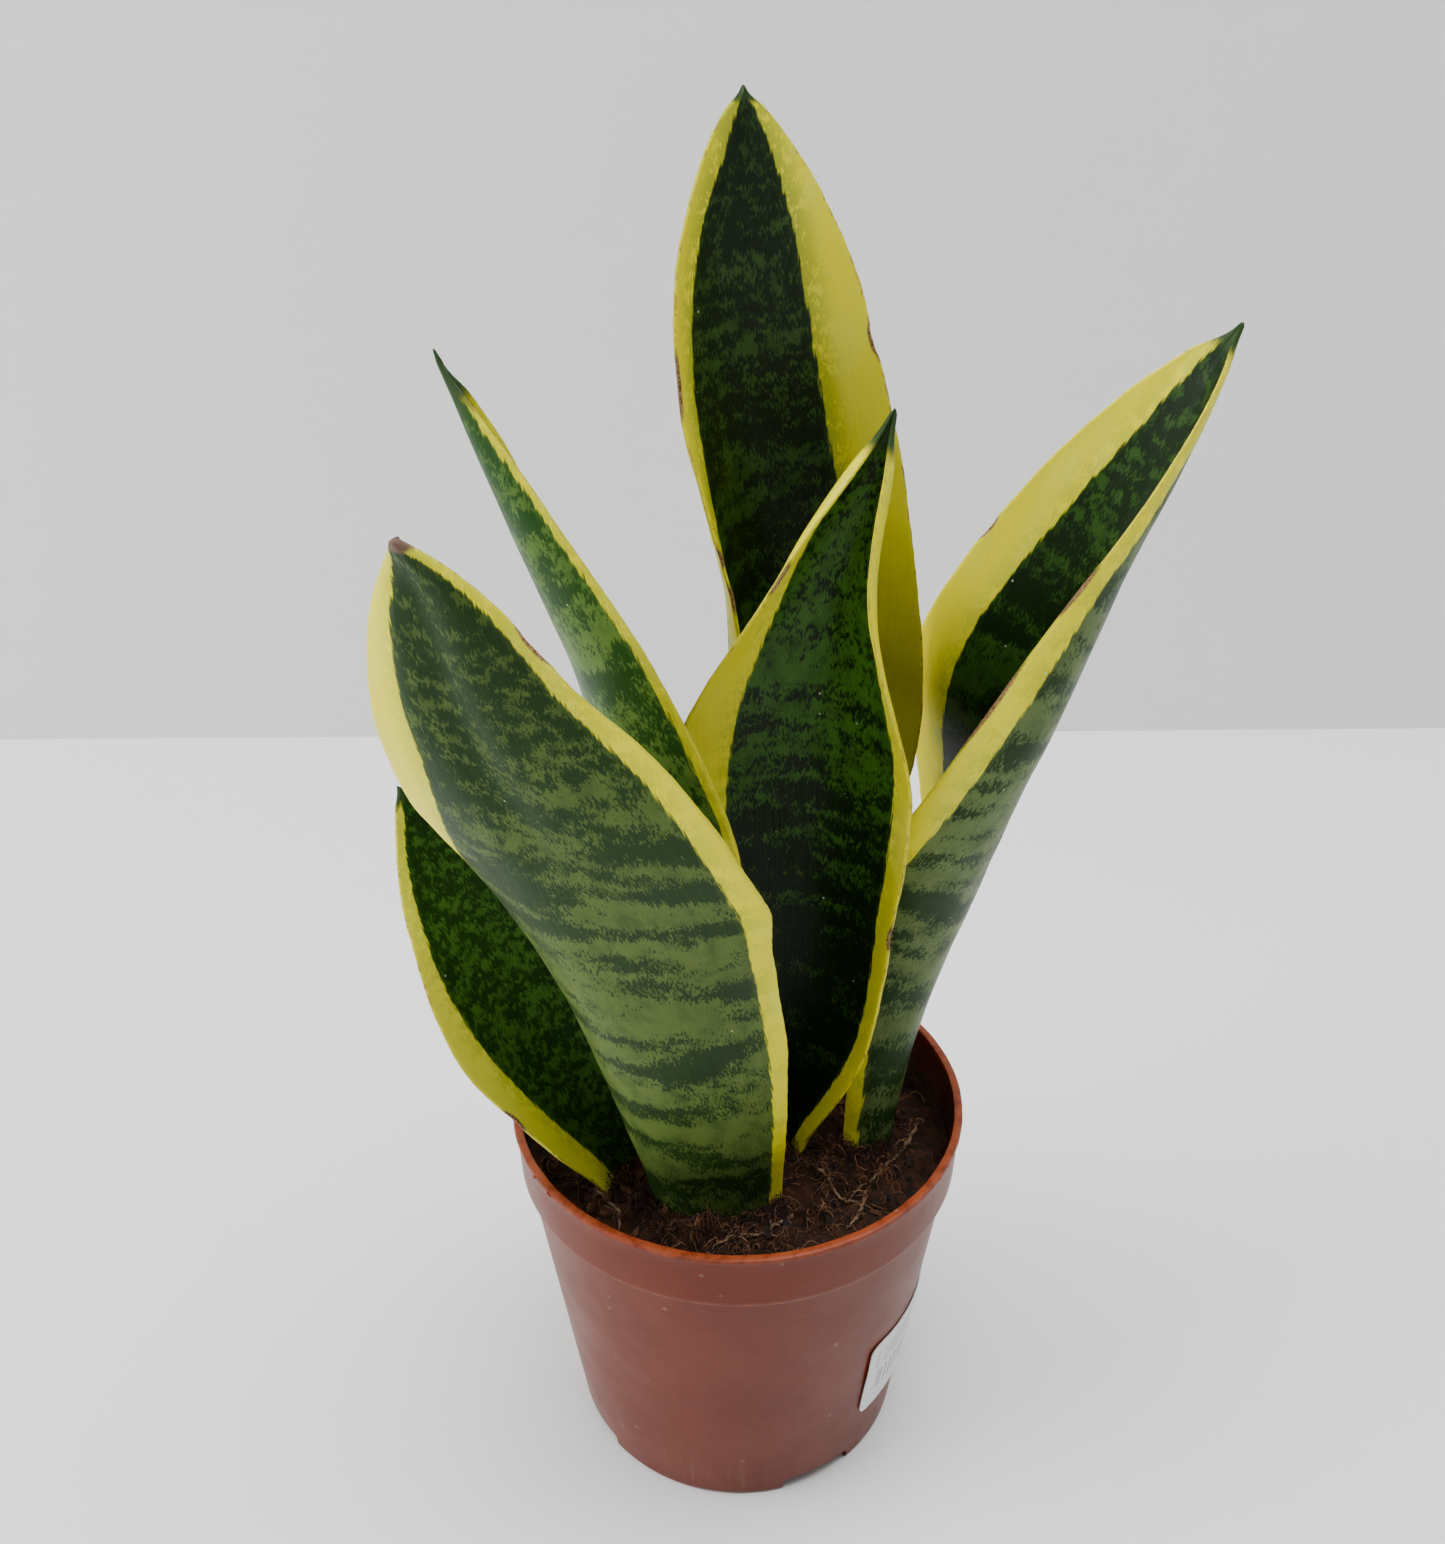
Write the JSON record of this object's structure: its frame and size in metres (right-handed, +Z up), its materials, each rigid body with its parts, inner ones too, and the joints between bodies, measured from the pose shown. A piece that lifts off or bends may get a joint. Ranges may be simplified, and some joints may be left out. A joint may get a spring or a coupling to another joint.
{
  "type": "potted snake plant",
  "caption": "Snake plant with stiff upright channelled leaves, banded green with yellow margins, growing from potting mix in a small round tapered nursery pot.",
  "frame": {"origin": "centre of the pad under the pot, on the surface the pot stands on", "axes": "+Z up along the pot's axis, -Y towards the front, +X to the right seen from the front"},
  "size_m": [0.1872, 0.1225, 0.3512],
  "materials": {
    "pot": "satin terracotta-brown moulded plastic",
    "potting_mix": "rough fibrous coir",
    "leaf_tall": "waxy, banded green with yellow margins",
    "leaf_right": "waxy, banded green with yellow margins",
    "leaf_middle": "waxy, banded green with yellow margins",
    "leaf_front": "waxy, banded green with yellow margins",
    "leaf_back_left": "waxy, banded green with yellow margins",
    "leaf_low_left": "waxy, banded green with yellow margins",
    "root_strand_1": "dry root bark",
    "root_strand_2": "dry root bark",
    "root_strand_3": "dry root bark",
    "root_strand_4": "dry root bark",
    "label": "satin white sticker film"
  },
  "bodies": {
    "root": {"pot": "pot", "potting_mix": "potting_mix", "leaf_tall": "leaf_tall", "leaf_right": "leaf_right", "leaf_middle": "leaf_middle", "leaf_front": "leaf_front", "leaf_back_left": "leaf_back_left", "leaf_low_left": "leaf_low_left", "root_strand_1": "root_strand_1", "root_strand_2": "root_strand_2", "root_strand_3": "root_strand_3", "root_strand_4": "root_strand_4", "label": "label"}
  },
  "joints": []
}
